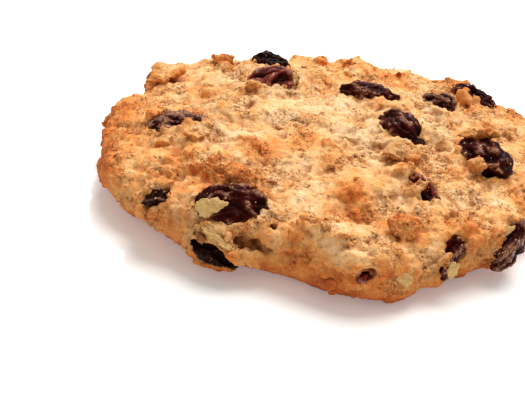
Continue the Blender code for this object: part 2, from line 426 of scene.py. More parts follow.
def relief_group():
    """Geometry Nodes: steps and swellings of torn, baked dough. The foot of the surface stays flat."""
    sizes = []
    for kind, size, rise, _ in LAPS:
        sizes.append((f"{kind} Size", "NodeSocketFloat", size))
        sizes.append((f"{kind} Rise", "NodeSocketFloat", rise))
    tree, given, result = new_group(
        "baked_relief",
        "GeometryNodeTree",
        (
            ("Surface", "NodeSocketGeometry", None),
            ("Finish", "NodeSocketMaterial", None),
            *sizes,
            ("Swell Size", "NodeSocketFloat", SWELL_SIZE),
            ("Swell Rise", "NodeSocketFloat", SWELL_RISE),
            ("Flat Foot", "NodeSocketFloat", FLAT_FOOT),
        ),
        (("Baked", "NodeSocketGeometry"),),
    )
    g = given.outputs
    position = tree.add("GeometryNodeInputPosition").outputs[0]
    normal = tree.add("GeometryNodeInputNormal").outputs[0]
    bent = position
    for size, reach in WANDER:
        bent = tree.moved(bent, tree.waves(position, size, reach))

    def lap(kind, softness):
        """Plateaus at uneven heights, -0.5 to 0.5, with soft steps between them."""
        scale = tree.math("DIVIDE", 1.0, g[f"{kind} Size"])
        inputs = {"Vector": bent, "Scale": scale, "Smoothness": softness}
        cells = tree.add("ShaderNodeTexVoronoi", inputs, feature="SMOOTH_F1")
        level = tree.add("FunctionNodeSeparateColor", {0: tree.outlet(cells, "Color")}).outputs[0]
        dome = tree.times(tree.outlet(cells, "Distance"), -0.5)
        return tree.math("ADD", tree.math("SUBTRACT", level, 0.3), dome)

    crumbly = tree.math("MULTIPLY_ADD", crumbly_patches(tree, position), 0.65, 0.35)
    levels = [lap(kind, softness) for kind, _, _, softness in LAPS]
    rise = tree.times(levels[0], g["Scrap Rise"])
    for (kind, *_), level, share in zip(LAPS[1:], levels[1:], (1.0, crumbly)):
        step = tree.times(tree.times(level, g[f"{kind} Rise"]), share)
        rise = tree.math("ADD", rise, step)
    scale = tree.math("DIVIDE", 1.0, g["Swell Size"])
    inputs = {"Vector": bent, "Scale": scale, "Detail": 4.0, "Roughness": 0.6}
    swell = tree.add("ShaderNodeTexNoise", inputs).outputs[0]
    swell = tree.times(tree.math("SUBTRACT", swell, 0.5), g["Swell Rise"])
    rise = tree.math("ADD", rise, swell)
    height = tree.add("ShaderNodeSeparateXYZ", {0: position}).outputs["Z"]
    free = tree.math("DIVIDE", height, g["Flat Foot"], clamp=True)
    offset = tree.scaled(normal, tree.times(rise, free))
    tone = tree.math("MULTIPLY_ADD", levels[1], 0.5, tree.times(levels[0], 0.5))
    marked = tree.marked(g["Surface"], "tone", tone)
    raised = tree.add("GeometryNodeSetPosition", {"Geometry": marked, "Offset": offset})
    position = tree.add("GeometryNodeInputPosition").outputs[0]
    x, y, z = tree.add("ShaderNodeSeparateXYZ", {0: position}).outputs
    above = tree.add("ShaderNodeCombineXYZ", {0: x, 1: y, 2: tree.math("MAXIMUM", z, 0.0)})
    level = tree.add("GeometryNodeSetPosition", {"Geometry": raised, "Position": above})
    return finished_group(tree, level, g["Finish"], result)


# ---------------- shapes that are strewn


# Widths and heights of the shapes for one unit of length, and how fine and how deep a torn edge is
# notched, from broad lobes to small teeth.
LUMP_WIDTH, LUMP_HEIGHT = 0.8, 0.7
FLAKE_WIDTH, FLAKE_THICKNESS = 0.72, 0.22
SCRAP_WIDTH, FLAT_THICKNESS = 0.8, 0.2
TORN_EDGE = ((1.3, 0.5), (3.2, 0.3), (7.0, 0.14))


def lump_shape(seed, subdivisions, roughness):
    """An uneven crumb of dough, about one unit in half length."""
    bm = bmesh.new()
    bmesh.ops.create_icosphere(bm, subdivisions=subdivisions, radius=1.0)
    for vertex in bm.verts:
        lobe = noise.noise(vertex.co * 1.1 + Vector((seed * 3.7, 0, 0)))
        knob = noise.noise(vertex.co * 2.6 + Vector((0, seed * 5.1, 0)))
        vertex.co *= 1 + roughness * (lobe + 0.5 * knob)
        vertex.co.y *= LUMP_WIDTH
        vertex.co.z *= LUMP_HEIGHT
    return bm


def broken_shape(seed, subdivisions, cuts=9):
    """A crumb broken off baked dough: rough, with a few worn faces and corners."""
    chance = random.Random(seed)
    bm = bmesh.new()
    bmesh.ops.create_icosphere(bm, subdivisions=subdivisions, radius=1.0)
    for _ in range(cuts):
        away = Vector([chance.gauss(0, 1) for _ in range(3)]).normalized()
        reach = chance.uniform(0.35, 0.75)
        for vertex in bm.verts:
            over = vertex.co.dot(away) - reach
            if over > 0:
                vertex.co -= away * over * 0.9
    longest = max(vertex.co.length for vertex in bm.verts)
    for vertex in bm.verts:
        knob = noise.noise(vertex.co * 2.2 + Vector((seed * 3.7, 0, 0)))
        vertex.co *= (1 + 0.25 * knob) / longest
        vertex.co.z *= 0.8
    return bm


def flake_shape(seed):
    """A rolled oat flake: a flat oval with a ragged edge, a crease along it and a slight curl."""
    bm = bmesh.new()
    bmesh.ops.create_icosphere(bm, subdivisions=3, radius=1.0)
    for vertex in bm.verts:
        x, y, z = vertex.co
        around = Vector((x, y, 0)) * 1.6 + Vector((seed * 2.3, 1.0, 0))
        ragged = 1 + 0.22 * noise.noise(around)
        x, y = x * ragged, y * ragged * FLAKE_WIDTH
        crease = 0.07 * math.exp(-((y / 0.12) ** 2))
        curl = 0.22 * (x * x - 0.3) + 0.2 * noise.noise(Vector((x, y, seed)) * 1.2)
        ripple = 0.05 * noise.noise(Vector((x * 2.2, y * 4.0, seed * 1.7)))
        vertex.co = (x, y, z * FLAKE_THICKNESS + curl + ripple - crease * (z > 0))
    return bm


def scrap_shape(seed, subdivisions, torn=1.0):
    """A torn scrap of dough or oat: flat, with a ragged outline and an uneven face. One unit thick."""
    bm = bmesh.new()
    bmesh.ops.create_icosphere(bm, subdivisions=subdivisions, radius=1.0)
    for vertex in bm.verts:
        x, y, z = vertex.co
        edge = Vector((x, y, 0)).normalized() if abs(z) < 1 else Vector((1, 0, 0))
        start = Vector((seed * 2.3, 1.0, seed * 0.7))
        ragged = 1 + torn * sum(depth * noise.noise(edge * fine + start) for fine, depth in TORN_EDGE)
        x, y = x * ragged, y * ragged * SCRAP_WIDTH
        spot = Vector((x, y, seed))
        face = 0.5 * noise.noise(spot * 1.5) + 0.3 * noise.noise(spot * 4.0)
        vertex.co = (x, y, math.copysign(abs(z) ** 0.6, z) * 0.5 + face)
    return bm


def flat_scrap(seed):
    """A thin torn scrap, about one unit in half length."""
    bm = scrap_shape(seed, 3, 0.9)
    bm.transform(Matrix.Diagonal((1.0, 1.0, FLAT_THICKNESS, 1.0)))
    return bm


def shape_collection(name, shapes):
    collection = bpy.data.collections.new(name)
    for number, bm in enumerate(shapes):
        obj = bpy.data.objects.new(f"{name}_{number}", mesh_from(bm, name))
        collection.objects.link(obj)
    return collection


def drop_collection(collection):
    for obj in list(collection.objects):
        bpy.data.objects.remove(obj)
    bpy.data.collections.remove(collection)


def strewer(group, raisins):
    """A call that strews shapes over a surface, as sizes say, and returns their mesh."""

    def strew(surface, shapes, finish, sizes, seed):
        inputs = dict(zip(STREW_INPUTS, sizes))
        inputs.update((label, inputs[label] * MM) for label in STREW_LENGTHS)
        bed = link_object("strewn_bed", surface)
        mesh = apply_tree(bed, group, Shapes=shapes, Raisins=raisins, Finish=finish, Seed=seed, **inputs)
        bpy.data.objects.remove(bed)
        return mesh

    return strew


# ---------------- what is placed one by one
# Each lies on the nearest place of the cookie to x, y and z, turned by heading, with its length,
# width and thickness, and its middle raised by rise. Degrees and mm.

DOUGH_BITS = (
    # shape, x, y, z, heading, length, width, thickness, rise
    # Round the front left raisin, and the ledges over the one below it and the one to its left.
    ("lump", -15.2, -26.2, 13.3, -5, 6.4, 3.8, 2.6, 0.2),
    ("lump", -17.9, -35.2, 8.8, -10, 4.0, 2.4, 2.2, 0.1),
    ("scrap", -15.0, -35.7, 8.7, 10, 5.0, 3.0, 2.2, 0.1),
    ("lump", -12.6, -34.6, 9.4, 40, 3.8, 2.8, 2.2, 0.1),
    ("scrap", -18.8, -36.2, 7.2, -24, 8.6, 3.4, 2.6, 1.2),
    ("lump", -22.6, -34.4, 4.8, 0, 4.8, 3.6, 2.4, 0.1),
    ("lump", -18.6, -35.8, 2.6, -20, 6.4, 2.4, 2.0, 0.2),
    ("lump", -13.6, -37.0, 4.6, 0, 5.0, 3.8, 2.6, 0.3),
    ("scrap", -28.6, -28.0, 10.8, 20, 6.0, 3.6, 2.0, 0.6),
    ("lump", -28.2, -30.8, 9.2, 0, 5.4, 2.8, 2.4, 0.1),
    # Round the raisins at the back and on the left.
    ("scrap", -33.4, 15.0, 11.8, 35, 7.0, 4.4, 2.0, 0.5),
    ("lump", -34.0, 19.6, 13.2, 42, 7.6, 4.6, 1.5, 0.0),
    ("scrap", -8.8, 19.4, 14.5, 5, 3.6, 1.8, 1.4, 0.1),
    ("lump", -15.6, 7.4, 15.2, 20, 3.8, 3.0, 2.2, 0.4),
    ("lump", -30.5, -13.4, 12.2, -10, 3.8, 2.2, 2.0, 0.0),
    ("scrap", -24.6, -13.6, 12.6, 8, 4.6, 2.4, 1.8, 0.1),
    ("scrap", 9.4, 3.4, 15.3, 8, 5.0, 2.4, 1.8, 0.1),
    ("scrap", 26.0, 27.2, 11.3, -15, 9.4, 5.0, 2.6, 0.3),
    ("lump", 26.8, 18.4, 12.0, -20, 4.6, 3.0, 1.6, 0.0),
    # Round the two big raisins and the one that peeks out in front of them.
    ("scrap", 9.8, -12.4, 13.9, 15, 5.0, 2.8, 2.0, 0.3),
    ("lump", 12.8, -13.0, 13.8, 25, 3.4, 2.4, 2.0, 0.2),
    ("lump", 25.2, -6.0, 13.8, -34, 6.8, 3.6, 3.0, 0.0),
    ("lump", 24.0, -13.2, 12.8, 40, 4.4, 3.0, 2.6, 0.2),
    ("scrap", 13.0, -23.8, 13.0, 40, 5.0, 2.6, 2.8, 0.6),
    ("lump", 11.0, -20.2, 13.5, 30, 4.2, 2.8, 2.2, 0.5),
    # Mounds and ledges of the front wall, and its lobes on both sides of the cleft.
    ("lump", 10.2, -33.4, 10.9, 60, 6.0, 4.4, 2.8, 0.2),
    ("scrap", -2.8, -38.4, 10.0, -4, 9.6, 4.6, 2.2, 0.1),
    ("scrap", -8.8, -36.6, 8.8, -8, 7.4, 3.8, 2.0, 0.1),
    ("lump", 2.4, -41.4, 8.4, 10, 6.4, 4.2, 2.4, 0.1),
    ("scrap", -1.4, -40.6, 7.6, 0, 6.4, 3.6, 2.0, 0.2),
    ("scrap", 17.2, -35.8, 6.8, 50, 3.8, 2.8, 1.8, 0.5),
    ("lump", 21.4, -31.2, 8.9, 30, 6.6, 4.4, 3.0, 0.1),
    ("scrap", 25.8, -30.0, 8.2, 60, 4.0, 2.6, 1.8, 0.3),
    # Knobs along the back edge.
    ("lump", -23.2, 28.7, 11.0, 0, 4.4, 3.6, 2.8, 0.0),
    ("lump", -2.4, 34.4, 11.0, 0, 3.0, 2.4, 2.0, 0.0),
    ("lump", 3.4, 32.8, 11.4, 0, 2.6, 2.4, 1.8, 0.0),
)

FLAKES_PLACED = (
    # x, y, z, heading, length, width, thickness, rise
    (-20.2, -32.8, 10.4, -10, 3.8, 2.7, 1.0, 0.55),
    (-18.6, -32.3, 11.0, 24, 4.0, 2.1, 1.0, 0.60),
    (-18.8, -36.6, 6.4, -28, 5.6, 1.5, 0.8, 1.90),
    (17.8, -36.4, 6.0, 80, 3.0, 1.8, 0.8, 0.60),
    (27.6, -28.8, 8.6, 70, 3.6, 2.0, 0.8, 0.50),
    (-8.6, 10.4, 16.0, 40, 2.6, 1.8, 0.9, 0.10),
)

# Spots baked darker, and broad places that stayed pale: x, y, z and radius in mm, and strength.
TOASTED_SPOTS = (
    (-37.0, -6.0, 11.0, 11.0, 0.45),
    (-35.0, 9.0, 11.5, 8.0, 0.35),
    (-38.4, 2.4, 11.2, 4.2, 0.7),
    (-39.3, -11.5, 9.9, 5.0, 0.7),
    (-39.6, -17.8, 8.5, 3.5, 0.5),
    (-28.1, -19.8, 11.7, 3.4, 0.4),
    (-23.2, 28.7, 11.0, 3.0, 0.5),
    (-2.4, 34.4, 11.0, 2.6, 0.6),
    (3.4, 32.8, 11.4, 2.6, 0.6),
    (11.0, 22.4, 13.3, 5.0, 0.7),
    (25.0, 27.6, 11.4, 3.4, 0.5),
    (-12.2, -16.3, 14.1, 3.6, 0.9),
    (-7.1, -11.6, 14.2, 2.6, 0.7),
    (-3.9, -11.1, 14.9, 3.0, 0.8),
    (-20.9, -24.2, 13.0, 2.4, 1.0),
    (-15.2, -26.2, 13.6, 3.2, 1.0),
    (2.0, -27.3, 11.9, 3.4, 1.0),
    (10.2, -33.4, 10.9, 3.6, 1.0),
    (20.0, -30.2, 11.0, 3.2, 0.8),
    (0.0, -42.6, 3.6, 4.5, 0.8),
    (36.5, 17.0, 10.7, 4.0, 0.7),
    (24.8, -5.0, 13.8, 3.2, 0.8),
    (25.9, 0.4, 12.9, 3.0, 0.5),
    (19.3, -16.4, 12.8, 2.6, 0.5),
    (37.5, -15.5, 8.0, 6.0, 0.9),
)
PALE_PLACES = (
    (1.2, -8.2, 14.8, 6.0, 1.0),
    (16.6, -5.4, 14.1, 6.0, 1.0),
    (-5.1, 3.0, 15.8, 9.0, 0.8),
    (-19.7, -10.8, 13.9, 5.0, 0.7),
    (-6.5, -20.0, 13.6, 4.0, 0.5),
    (-13.4, -35.2, 8.8, 4.0, 0.5),
    (2.4, -41.2, 8.9, 3.6, 0.9),
    (-1.6, -40.2, 8.8, 3.0, 0.6),
    (20.0, -21.0, 11.5, 4.0, 0.6),
    (-19.1, -36.3, 6.6, 2.5, 0.9),
    (17.2, -35.4, 6.8, 2.0, 0.9),
    (18.6, 7.0, 14.0, 3.4, 1.2),
)


def placing(tree, spot, heading, rise):
    """The matrix that lays a thing on the cookie's nearest place to spot, flat and turned."""
    point, normal = tree.find_nearest(Vector(spot) * MM)[:2]
    turn = math.radians(heading)
    along = Vector((math.cos(turn), math.sin(turn), 0))
    if abs(normal.z) < 0.6:
        along = normal.cross(Vector((0, 0, 1))) * -math.cos(turn) + Vector((0, 0, 1)) * math.sin(turn)
    side = normal.cross(along).normalized()
    length = side.cross(normal).normalized()
    axes = Matrix((length, side, normal)).transposed().to_4x4()
    return Matrix.Translation(point + normal * rise * MM) @ axes


def laid(bm, tree, spot, heading, size, rise):
    """bm, about one unit in half length, sized and laid on the cookie."""
    bm.transform(Matrix.Diagonal((*[s * MM / 2 for s in size], 1.0)))
    bm.transform(placing(tree, spot, heading, rise))
    bm.normal_update()
    return bm


def dough_bits(tree):
    """The meshes of DOUGH_BITS, laid on the cookie that tree searches."""
    for seed, (shape, x, y, z, heading, length, width, thickness, rise) in enumerate(DOUGH_BITS):
        if shape == "lump":
            bm = lump_shape(seed + 40, 4, 0.45)
            size = (length, width / LUMP_WIDTH, thickness / LUMP_HEIGHT)
        else:
            bm = scrap_shape(seed + 40, 5)
            size = (length, width / SCRAP_WIDTH, thickness)
        yield mesh_from(laid(bm, tree, (x, y, z), heading, size, rise), "dough_bit")


def placed_flakes(tree):
    """The meshes of FLAKES_PLACED, each a little darker or paler than the next."""
    for seed, (x, y, z, heading, length, width, thickness, rise) in enumerate(FLAKES_PLACED):
        size = (length, width / SCRAP_WIDTH, thickness)
        bm = laid(scrap_shape(seed + 70, 4, 0.8), tree, (x, y, z), heading, size, rise)
        mesh = mesh_from(bm, "flake_placed")
        set_attribute(mesh, "shade", np.full(len(mesh.vertices), 0.34 + 0.06 * (seed % 3)))
        yield mesh


# ---------------- dough


def neighbour_table(mesh):
    """Both ends of every edge, each way round, and how many neighbours each point has."""
    edges = np.empty(len(mesh.edges) * 2, np.int32)
    mesh.edges.foreach_get("vertices", edges)
    a, b = edges.reshape(-1, 2).T
    ends = np.concatenate([a, b])
    others = np.concatenate([b, a])
    return ends, others, np.bincount(ends, minlength=len(mesh.vertices)).astype(float)


def relaxed(values, table, rounds):
    """values evened out over the surface: each point takes the mean of itself and its neighbours."""
    ends, others, count = table
    values = values.copy()
    for _ in range(rounds):
        for column in values.T:
            total = np.bincount(ends, weights=column[others], minlength=len(column))
            column[:] = 0.5 * column + 0.5 * total / np.maximum(count, 1)
    return values


def spots(co, places):
    """How strongly each point lies in one of these places."""
    total = np.zeros(len(co))
    for x, y, z, radius, strength in places:
        away = np.linalg.norm(co - np.array((x, y, z)) * MM, axis=1) / (radius * MM)
        total += strength * np.exp(-(away**2))
    return np.clip(total, 0, 1.2)


def mark_dough(mesh):
    """Writes what the dough's finish follows: how proud each point stands, and the baked spots."""
    co, normal, table = points_of(mesh), normals_of(mesh), neighbour_table(mesh)
    near = relaxed(co, table, 10)
    far = relaxed(near, table, 90)
    set_attribute(mesh, "crumb", ((co - near) * normal).sum(1) / CRUMB_RISE)
    set_attribute(mesh, "lump", ((near - far) * normal).sum(1) / LUMP_RISE)
    # How far the surface turns from upward. The finish uses it for painted shade and browning on the
    # walls.
    upward = relaxed(normal, table, 60)[:, 2]
    set_attribute(mesh, "wall", np.clip(1 - upward, 0, 1.6))
    set_attribute(mesh, "toast", spots(co, TOASTED_SPOTS))
    set_attribute(mesh, "pale", spots(co, PALE_PLACES))


def mark_bits(mesh, dough):
    """Writes the same values on what is strewn on the dough, from the dough's nearest points."""
    bed, normal = points_of(dough), normals_of(dough)
    nearest = KDTree(len(bed))
    for number, point in enumerate(bed):
        nearest.insert(point, number)
    nearest.balance()
    co = points_of(mesh)
    below = np.array([nearest.find(point)[1] for point in co])
    proud = ((co - bed[below]) * normal[below]).sum(1)
    shade = values_of(mesh, "shade")
    set_attribute(mesh, "crumb", np.clip(proud / (0.3 * MM) - 0.5, -1.6, 1.0))
    set_attribute(mesh, "lump", values_of(dough, "lump")[below] + 1.4 * (shade - 0.5))
    for name in ("wall", "toast", "pale", "tone"):
        set_attribute(mesh, name, values_of(dough, name)[below])


def undercut(co):
    """How far the foot of the edge lies in under the rest, as a move of each point."""
    away = np.hypot(co[:, 0], co[:, 1])
    turned = np.degrees(np.arctan2(co[:, 1], co[:, 0])) - UNDERCUT["angle"]
    turned = (turned + 180) % 360 - 180
    share = UNDERCUT["least"] + (1 - UNDERCUT["least"]) * np.exp(-((turned / UNDERCUT["spread"]) ** 2))
    low = np.clip(1 - co[:, 2] / UNDERCUT["top"], 0, 1) ** 1.5
    pull = UNDERCUT["depth"] * share * low * np.clip(away / EDGE_AWAY, 0, 1) ** 3
    return -co * (pull / np.maximum(away, 1 * MM))[:, None] * (1, 1, 0)


def draw_in(mesh, raisins):
    """Draws the core in to make room for what is kneaded in, and raises a lip round each raisin."""
    co, normal = points_of(mesh), normals_of(mesh)
    away = np.array([raisins.find_nearest(Vector(point))[3] for point in co])
    lip = 1 - smoothstep(LIP_REACH * 0.4, LIP_REACH, away)
    free = smoothstep(LIP_REACH, LIP_END, away)
    top = np.clip(co[:, 2] / (2 * MM), 0, 1)
    mounds = TOAST_RISE * spots(co, TOASTED_SPOTS) - PALE_SINK * spots(co, PALE_PLACES)
    co += normal * ((LIP_RISE * lip + (mounds - DRAW_IN) * free) * top)[:, None]
    co += undercut(co)
    set_points(mesh, co)


def thin_to(obj, triangles):
    """Thins the mesh of obj out to about this many triangles."""
    obj.data.calc_loop_triangles()
    share = triangles / len(obj.data.loop_triangles)
    if share < 1:
        obj.modifiers.new("thin", "DECIMATE").ratio = share
        old = obj.data
        obj.data = evaluated_mesh(obj)
        bpy.data.meshes.remove(old)


def remeshed(name, mesh, voxel, smoothing):
    """mesh as one closed skin on a grid of this voxel, evened out in this many rounds."""
    obj = link_object(name, mesh)
    grid = obj.modifiers.new("grid", "REMESH")
    grid.mode = "VOXEL"
    grid.voxel_size = voxel
    even = obj.modifiers.new("even", "SMOOTH")
    even.iterations = smoothing
    made = evaluated_mesh(obj)
    bpy.data.objects.remove(obj)
    bpy.data.meshes.remove(mesh)
    return made


def make_dough(finish, raisin_tree, tree, strew):
    """The baked dough, and a copy of its bare core that loose flakes are strewn over."""
    core = remeshed("core", mesh_from(node_mesh("dough"), "core"), CORE_VOXEL, 3)
    draw_in(core, raisin_tree)
    flakes = shape_collection("kneaded_flakes", [flake_shape(n) for n in range(5)])
    lumps = shape_collection("kneaded_lumps", [lump_shape(n, 3, 0.4) for n in range(6)])
    crumbs = shape_collection("kneaded_crumbs", [broken_shape(n + 20, 2) for n in range(8)])
    parts = [
        strew(core, flakes, finish, FLAKES_IN, 11),
        strew(core, lumps, finish, LUMPS_IN, 5),
        strew(core, crumbs, finish, CRUMBS_IN, 3),
        strew(core, crumbs, finish, COLLAR_IN, 9),
    ]
    for collection in (flakes, lumps, crumbs):
        drop_collection(collection)
    bed = core.copy()
    whole = join_meshes("dough_rough", [core, *parts, *dough_bits(tree)])
    whole = remeshed("dough_rough", whole, CRUMB_VOXEL, 1)
    rough = link_object("baked_dough", whole)
    rough.data = apply_tree(rough, relief_group(), Finish=finish)
    thin_to(rough, DOUGH_TRIANGLES)
    mark_dough(rough.data)
    rough.data.shade_smooth()
    return rough, bed


# ---------------- raisins

RAISIN_GROWTH = 1.02
LOWEST = 0.1 * MM

# Folds of the skin: size and depth of each kind, from wrinkles that run along it to fine creases,
# how much they are drawn out along the raisin, and how they drift off straight lines.
FOLDS = ((3.0 * MM, 0.75 * MM), (1.5 * MM, 0.52 * MM), (0.75 * MM, 0.28 * MM))
FOLD_STRETCH = 0.5
FOLD_MIDDLE = 0.62
DRIFT_SIZE, DRIFT_REACH = 2.4 * MM, 0.9 * MM
DRIFT_STARTS = ((0.0, 0.0, 0.0), (31.4, 7.7, 2.3), (5.9, 47.2, 13.1))


def long_axes(co):
    """Mean of the points and their long, middle and short axes, as columns."""
    middle = co.mean(0)
    axes = np.linalg.eigh(np.cov((co - middle).T))[1][:, ::-1]
    axes *= np.sign(axes[np.abs(axes).argmax(0), range(3)])
    return middle, axes


def ridge(point):
    """1 along meandering lines and less between them."""
    return 1 - 2 * abs(noise.noise(point))


def drift(point):
    """A smooth vector that wanders from place to place, at most about one long."""
    return Vector([noise.noise(point + Vector(start)) for start in DRIFT_STARTS])


def make_raisin(name, seed):
    """The raisin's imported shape, rounded and then shrivelled into folds along its length."""
    obj = link_object("wrinkled_" + name, mesh_from(node_mesh(name), name))
    rounder = obj.modifiers.new("round", "SUBSURF")
    rounder.levels = rounder.render_levels = 3
    old = obj.data
    obj.data = evaluated_mesh(obj)
    bpy.data.meshes.remove(old)
    co, normal = points_of(obj.data), normals_of(obj.data)
    middle, axes = long_axes(co)
    local = (co - middle) @ axes
    moves = np.zeros(len(co))
    fold = np.zeros(len(co))
    start = Vector((seed * 4.3, seed * 1.9, 7.0))
    whole = sum(depth for size, depth in FOLDS)
    for i, point in enumerate(local * (FOLD_STRETCH, 1.0, 1.0)):
        bent = Vector(point) + DRIFT_REACH * drift(Vector(point) / DRIFT_SIZE + start)
        for size, depth in FOLDS:
            crest = ridge(bent / size + start)
            moves[i] += depth * (crest - FOLD_MIDDLE)
            fold[i] += crest * depth / whole
    grown = middle + (co - middle) * RAISIN_GROWTH + normal * moves[:, None]
    grown[:, 2] = np.maximum(grown[:, 2], LOWEST)
    set_points(obj.data, grown)
    set_attribute(obj.data, "fold", fold)
    return obj


# ---------------- finishes


def new_material(name):
    material = bpy.data.materials.new(name)
    material.use_nodes = True
    tree = Tree(material.node_tree)
    shader = material.node_tree.nodes["Principled BSDF"]
    return material, tree, shader


def attribute(tree, name):
    return tree.add("ShaderNodeAttribute", attribute_name=name).outputs["Fac"]


def object_position(tree):
    return tree.add("ShaderNodeTexCoord").outputs["Object"]


def feed_bump(tree, shader, height, depth):
    bump = tree.add("ShaderNodeBump", {"Height": height, "Strength": 1.0, "Distance": depth})
    tree.feed(shader.inputs["Normal"], bump)


def grain_group():
    """Fine crumb: a height, and a mask of pin holes that the finishes paint dark as shade, from a
    position.
    """
    tree, given, result = new_group(
        "fine_crumb",
        "ShaderNodeTree",
        (("Position", "NodeSocketVector", None), ("Grain", "NodeSocketFloat", DOUGH_GRAIN)),
        (("Height", "NodeSocketFloat"), ("Holes", "NodeSocketFloat")),
    )
    g = given.outputs
    scale = tree.math("DIVIDE", 1.0, g["Grain"])
    inputs = {"Vector": g["Position"], "Scale": scale, "Detail": 4.0, "Roughness": 0.65}
    fine = tree.add("ShaderNodeTexNoise", inputs).outputs[0]
    scale = tree.times(scale, 0.8)
    cells = tree.add("ShaderNodeTexVoronoi", {"Vector": g["Position"], "Scale": scale})
    bumps = tree.math("SUBTRACT", 1.0, tree.outlet(cells, "Distance"))
    height = tree.math("ADD", tree.times(fine, 0.7), tree.times(bumps, 0.5))
    bent = tree.moved(g["Position"], tree.waves(g["Position"], 0.6 * MM, 0.7 * MM))
    pores = tree.add("ShaderNodeTexVoronoi", {"Vector": bent, "Scale": 1 / PORE_SIZE})
    chosen = tree.add("ShaderNodeSeparateColor", {0: tree.outlet(pores, "Color")}).outputs[0]
    width = tree.math("MULTIPLY_ADD", chosen, 0.5, -0.25)
    inside = tree.math("SUBTRACT", tree.outlet(pores, "Distance"), width)
    hole = tree.ramp(inside, -0.08, 0.0, 1.0, 0.0)
    height = tree.math("SUBTRACT", height, tree.times(hole, 0.8))
    tree.feed(result.inputs["Height"], height)
    tree.feed(result.inputs["Holes"], hole)
    return tree.tree


def use_group(tree, group, inputs):
    node = tree.tree.nodes.new("ShaderNodeGroup")
    node.node_tree = group
    for name, value in inputs.items():
        tree.feed(node.inputs[name], value)
    return node


def dough_material(fine):
    """Baked dough, for the dough itself and all that is strewn on it."""
    material, tree, shader = new_material("baked_oat_dough")
    position = object_position(tree)
    lump, crumb = attribute(tree, "lump"), attribute(tree, "crumb")
    toast, pale, wall = attribute(tree, "toast"), attribute(tree, "pale"), attribute(tree, "wall")
    tone = attribute(tree, "tone")
    height = tree.add("ShaderNodeSeparateXYZ", {0: position}).outputs["Z"]
    grain = use_group(tree, fine, {"Position": position, "Grain": DOUGH_GRAIN})

    def weighed(*terms):
        """The sum of value times weight."""
        total = 0.0
        for value, weight in terms:
            total = tree.math("MULTIPLY_ADD", value, weight, total)
        return total

    # Browning goes by patches, by scraps, by what stands proud, and is strongest at the foot. It is
    # raised on the walls too, partly as painted shade.
    broad = tree.noise(position, 8 * MM, 3.0)
    patch = tree.noise(position, 2.6 * MM, 3.0, 0.6)
    speck = tree.noise(position, 0.75 * MM, 3.0, 0.75)
    granular = tree.math("MULTIPLY_ADD", crumbly_patches(tree, position), 0.7, 0.3)
    grit = tree.math("SUBTRACT", tree.noise(position, 0.34 * MM, 2.0, 0.7), 0.5)
    grit = tree.times(grit, granular)
    holes = tree.times(grain.outputs["Holes"], granular)
    foot = tree.ramp(height, 0.4 * MM, 4.0 * MM, 1.0, 0.0)
    browned = weighed(
        (broad, 0.85), (patch, 1.15), (speck, 0.75), (grit, 1.9), (tone, 0.25), (lump, 0.07),
        (crumb, 0.02), (toast, 0.42), (pale, -0.22), (wall, 0.16), (foot, 0.25),
    )
    browned = tree.math("SUBTRACT", browned, BROWNING_SHIFT)
    colour = tree.shades(browned, BROWNING)

    # Painted shade: creases, walls, gaps between crumbs and pores are made darker and warmer, where
    # shade would fall in them.
    deep = weighed((lump, 0.55), (crumb, 0.50))
    colour = tree.mix(tree.ramp(deep, -1.3, 0.35, 1.0, 0.0), colour, CREVICE_SHADE_TINT, "MULTIPLY")
    # The deepest creases are painted near black, as shade.
    colour = tree.mix(tree.ramp(deep, -2.2, -0.9, 0.8, 0.0), colour, DARK_FLECK_AND_SHADE)
    # Painted shade on the walls and underside, which face away from the light.
    colour = tree.mix(tree.math("MINIMUM", wall, 1.0), colour, WALL_SHADE_TINT, "MULTIPLY")
    # Flecks are dark specks of the dough itself.
    fleck = tree.ramp(tree.noise(position, 0.9 * MM, 3.0, 0.8, 0.3), 0.61, 0.68)
    # Painted shade in the gaps between crumbs.
    gap_shade = tree.ramp(tree.noise(position, 0.42 * MM, 3.0, 0.7, 0.6), 0.54, 0.62)
    gap_shade = tree.times(tree.times(gap_shade, granular), 0.9)
    colour = tree.mix(gap_shade, colour, GAP_SHADE)
    # Pores are painted dark as shade, and flecks keep their own dark colour.
    dark = tree.math("MAXIMUM", holes, tree.times(fleck, 0.6))
    colour = tree.mix(tree.times(dark, 0.85), colour, DARK_FLECK_AND_SHADE)
    tree.feed(shader.inputs["Base Color"], colour)
    tree.feed(shader.inputs["Roughness"], tree.ramp(patch, 0.3, 0.7, 0.9, 0.7))
    shader.inputs["Specular IOR Level"].default_value = 0.25
    feed_bump(tree, shader, tree.times(grain.outputs["Height"], granular), DOUGH_GRAIN_DEPTH)
    return material


def flake_material(fine):
    """Rolled oats, khaki and streaked."""
    material, tree, shader = new_material("oat_flake")
    position = object_position(tree)
    shade = attribute(tree, "shade")
    grain = use_group(tree, fine, {"Position": position, "Grain": OAT_GRAIN})
    streak = tree.noise(position, 0.8 * MM, 3.0, 0.7, 0.4)
    body = tree.math("ADD", tree.times(shade, 0.8), tree.times(streak, 0.7))
    colour = tree.mix(tree.ramp(body, 0.45, 1.0), OAT_PALE, OAT_BROWN)
    # Pores painted dark as shade.
    colour = tree.mix(tree.times(grain.outputs["Holes"], 0.4), colour, DARK_FLECK_AND_SHADE)
    tree.feed(shader.inputs["Base Color"], colour)
    tree.feed(shader.inputs["Roughness"], tree.ramp(streak, 0.3, 0.7, 0.72, 0.5))
    shader.inputs["Specular IOR Level"].default_value = 0.4
    feed_bump(tree, shader, grain.outputs["Height"], OAT_GRAIN_DEPTH)
    return material


